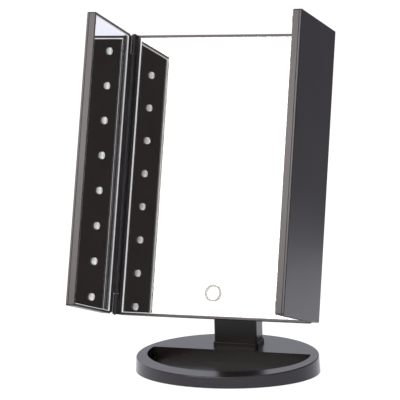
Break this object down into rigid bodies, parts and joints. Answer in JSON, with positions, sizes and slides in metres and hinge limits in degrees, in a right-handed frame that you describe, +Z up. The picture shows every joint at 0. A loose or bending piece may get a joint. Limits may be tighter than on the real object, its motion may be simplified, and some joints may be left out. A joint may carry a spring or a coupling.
{
  "type": "lighted vanity mirror",
  "caption": "Tri-fold tabletop vanity mirror: tilting centre mirror on a bent post, two hinged side mirrors with light domes, and an oval base with a tray.",
  "frame": {"origin": "centre of the non-slip pad's underside, on the surface the mirror stands on", "axes": "+Z up, the user stands at -Y and looks along +Y, +X to the user's right"},
  "size_m": [0.189, 0.1859, 0.3076],
  "materials": {
    "black_shell": "satin moulded",
    "black_frame": "satin moulded",
    "black_inner": "matt moulded",
    "pad_rubber": "matt",
    "weight_steel": "plain plate",
    "screw_steel": "dark zinc",
    "bush_brass": "turned",
    "bracket_steel": "black paint",
    "pin_steel": "ground",
    "mirror_glass": "silvered",
    "ring_white": "frosted",
    "circuit_board": "solder mask",
    "cell_jacket": "plain sleeve",
    "contact_metal": "nickel plated",
    "inlet_metal": "nickel plated",
    "knob_grey": "satin",
    "lens_frosted": "frosted",
    "chip_yellow": "phosphor"
  },
  "bodies": {
    "base": {"base_shell": "black_shell", "base_bottom_plate": "black_inner", "base_pad": "pad_rubber", "base_weight": "weight_steel", "base_screws": "screw_steel", "post_front_shell": "black_shell", "post_rear_shell": "black_shell", "post_foot": "black_inner", "post_foot_screws": "screw_steel", "post_screws": "screw_steel", "post_collar": "black_shell", "tilt_bush": "bush_brass"},
    "head": {"tilt_bracket": "bracket_steel", "tilt_bracket_screws": "screw_steel", "tilt_axle": "pin_steel", "tilt_axle_nut": "pin_steel", "tilt_friction_washers": "pin_steel", "tilt_axle_caps": "black_shell", "centre_frame": "black_frame", "centre_mirror": "mirror_glass", "touch_ring": "ring_white", "touch_sensor_board": "circuit_board", "centre_back_cover": "black_frame", "centre_cover_screws": "screw_steel", "battery_cells": "cell_jacket", "battery_contacts": "contact_metal", "control_board": "circuit_board", "power_switch_body": "black_inner", "charging_inlet": "inlet_metal", "left_hinge_pin": "pin_steel", "right_hinge_pin": "pin_steel"},
    "left_wing": {"left_wing_frame": "black_frame", "left_wing_mirror": "mirror_glass", "left_wing_back_cover": "black_frame", "left_light_lenses": "lens_frosted", "left_light_chips": "chip_yellow", "left_light_board": "circuit_board", "left_closing_pads": "pad_rubber"},
    "right_wing": {"right_wing_frame": "black_frame", "right_wing_mirror": "mirror_glass", "right_wing_back_cover": "black_frame", "right_light_lenses": "lens_frosted", "right_light_chips": "chip_yellow", "right_light_board": "circuit_board", "right_closing_pads": "pad_rubber"},
    "battery_door": {"battery_door": "black_frame"},
    "power_switch": {"power_switch_knob": "knob_grey"}
  },
  "joints": [
    {"name": "head_tilt", "type": "hinge", "parent": "base", "child": "head", "pos_m": [0, 0.0044, 0.1155], "axis": [-1, 0, 0], "range_deg": [-31, 73.5]},
    {"name": "left_wing_hinge", "type": "hinge", "parent": "head", "child": "left_wing", "pos_m": [-0.0847, -0.00771, 0.16903], "axis": [0, -0.2798, -0.96], "range_deg": [-89.2, 90.8]},
    {"name": "right_wing_hinge", "type": "hinge", "parent": "head", "child": "right_wing", "pos_m": [0.0847, -0.00771, 0.16903], "axis": [0, 0.2798, 0.96], "range_deg": [-85.7, 94.3]},
    {"name": "battery_door_slide", "type": "slide", "parent": "head", "child": "battery_door", "axis": [0, -0.2798, -0.96], "range_m": [0, 0.009]},
    {"name": "power_switch_slide", "type": "slide", "parent": "head", "child": "power_switch", "axis": [0, 0.2798, 0.96], "range_m": [0, 0.003]}
  ]
}
